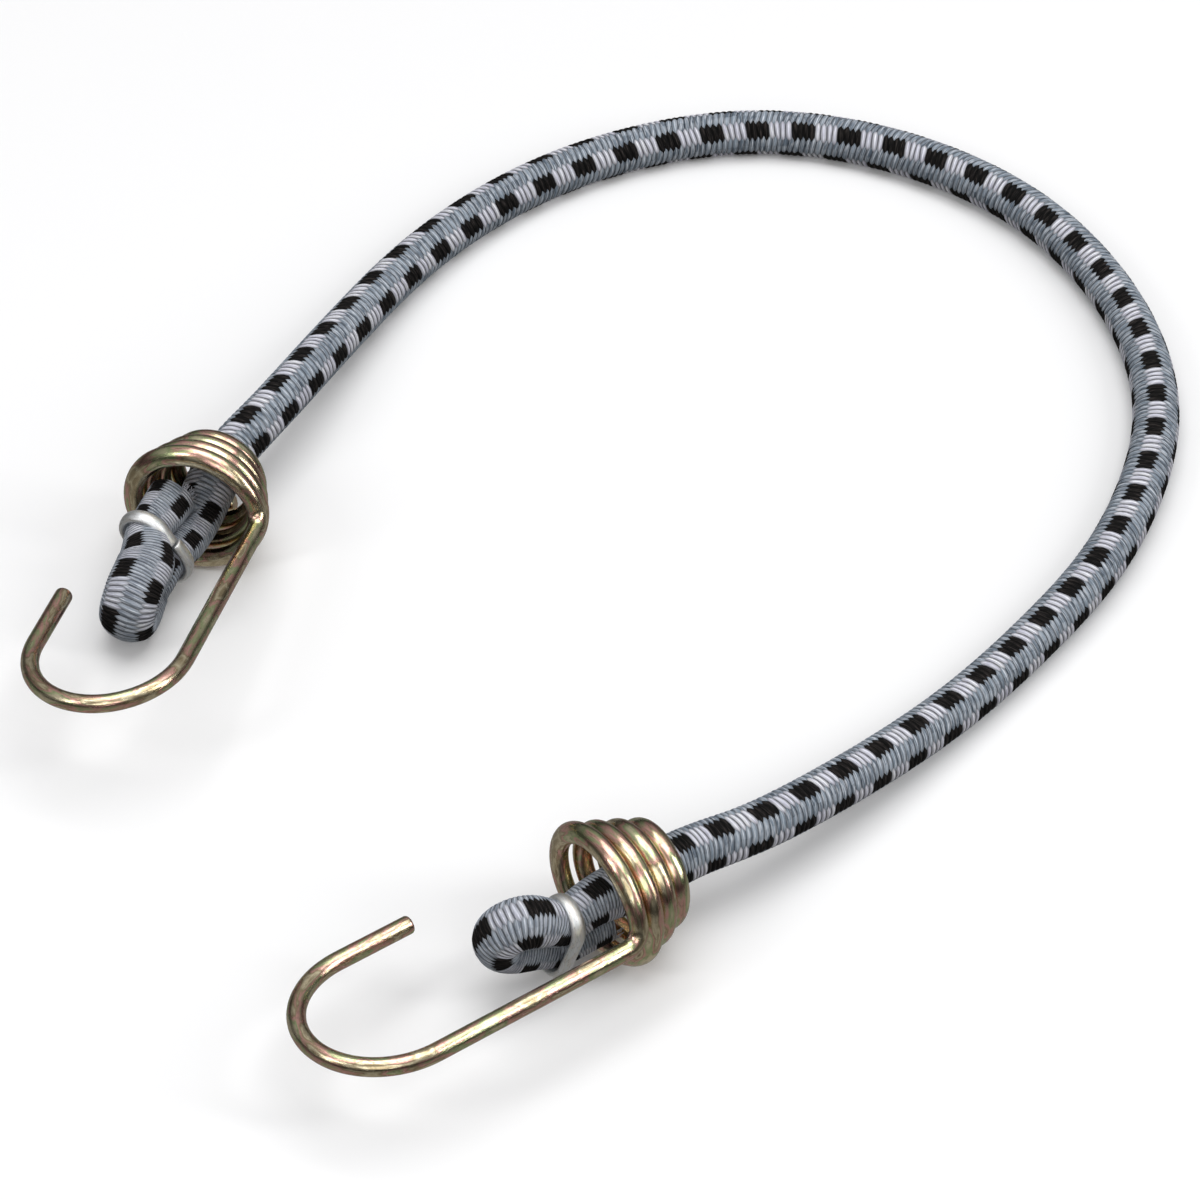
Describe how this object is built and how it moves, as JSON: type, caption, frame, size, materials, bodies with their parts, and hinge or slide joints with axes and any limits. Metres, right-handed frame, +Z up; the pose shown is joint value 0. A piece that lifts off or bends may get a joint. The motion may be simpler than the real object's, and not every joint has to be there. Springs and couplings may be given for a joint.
{
  "type": "bungee cord",
  "caption": "Elastic bungee cord in a braided sheath, with a conical coiled wire hook at each end and the cord's ends folded back and clamped by wire rings.",
  "frame": {"origin": "on the ground, under the middle of the box around both hooks and both rings", "axes": "+Z up from the ground that the cord lies on; +Y from the hooks towards the far side of the loop, +X to the right with both hooks nearest"},
  "size_m": [0.1925, 0.2443, 0.0245],
  "materials": {
    "braid": "woven polyester, slate grey with black and pale check rows",
    "core_rubber": "matt natural latex",
    "hook_wire": "yellow zinc plated, iridescent",
    "ring_wire": "bright zinc plated"
  },
  "bodies": {
    "cord": {"braided_sheath": "braid", "rubber_strand_01": "core_rubber", "rubber_strand_02": "core_rubber", "rubber_strand_03": "core_rubber", "rubber_strand_04": "core_rubber", "rubber_strand_05": "core_rubber", "rubber_strand_06": "core_rubber", "rubber_strand_07": "core_rubber", "rubber_strand_08": "core_rubber", "rubber_strand_09": "core_rubber", "rubber_strand_10": "core_rubber", "rubber_strand_11": "core_rubber", "rubber_strand_12": "core_rubber", "rubber_strand_13": "core_rubber", "rubber_strand_14": "core_rubber", "rubber_strand_15": "core_rubber", "rubber_strand_16": "core_rubber", "crimp_ring_b": "ring_wire"},
    "end_a": {"crimp_ring_a": "ring_wire"},
    "hook_a": {"wire_hook_a": "hook_wire"},
    "hook_b": {"wire_hook_b": "hook_wire"}
  },
  "joints": [
    {"name": "cord_stretch", "type": "slide", "parent": "cord", "child": "end_a", "axis": [-0.2643, -0.9595, 0.0976], "range_m": [0, 0.2], "stiffness_N_per_m": 320, "deforming": ["braided_sheath", "rubber_strand_01", "rubber_strand_02", "rubber_strand_03", "rubber_strand_04", "rubber_strand_05", "rubber_strand_06", "rubber_strand_07", "rubber_strand_08", "rubber_strand_09", "rubber_strand_10", "rubber_strand_11", "rubber_strand_12", "rubber_strand_13", "rubber_strand_14", "rubber_strand_15", "rubber_strand_16"]},
    {"name": "hook_a_swivel", "type": "hinge", "parent": "end_a", "child": "hook_a", "pos_m": [-0.02799, 0.05556, 0.01229], "axis": [0.2643, 0.9595, -0.0976], "range_deg": [-135, 80]},
    {"name": "hook_b_swivel", "type": "hinge", "parent": "cord", "child": "hook_b", "pos_m": [0.03871, -0.03314, 0.01222], "axis": [0.7929, 0.6084, -0.0349], "range_deg": [-220, 65]}
  ]
}
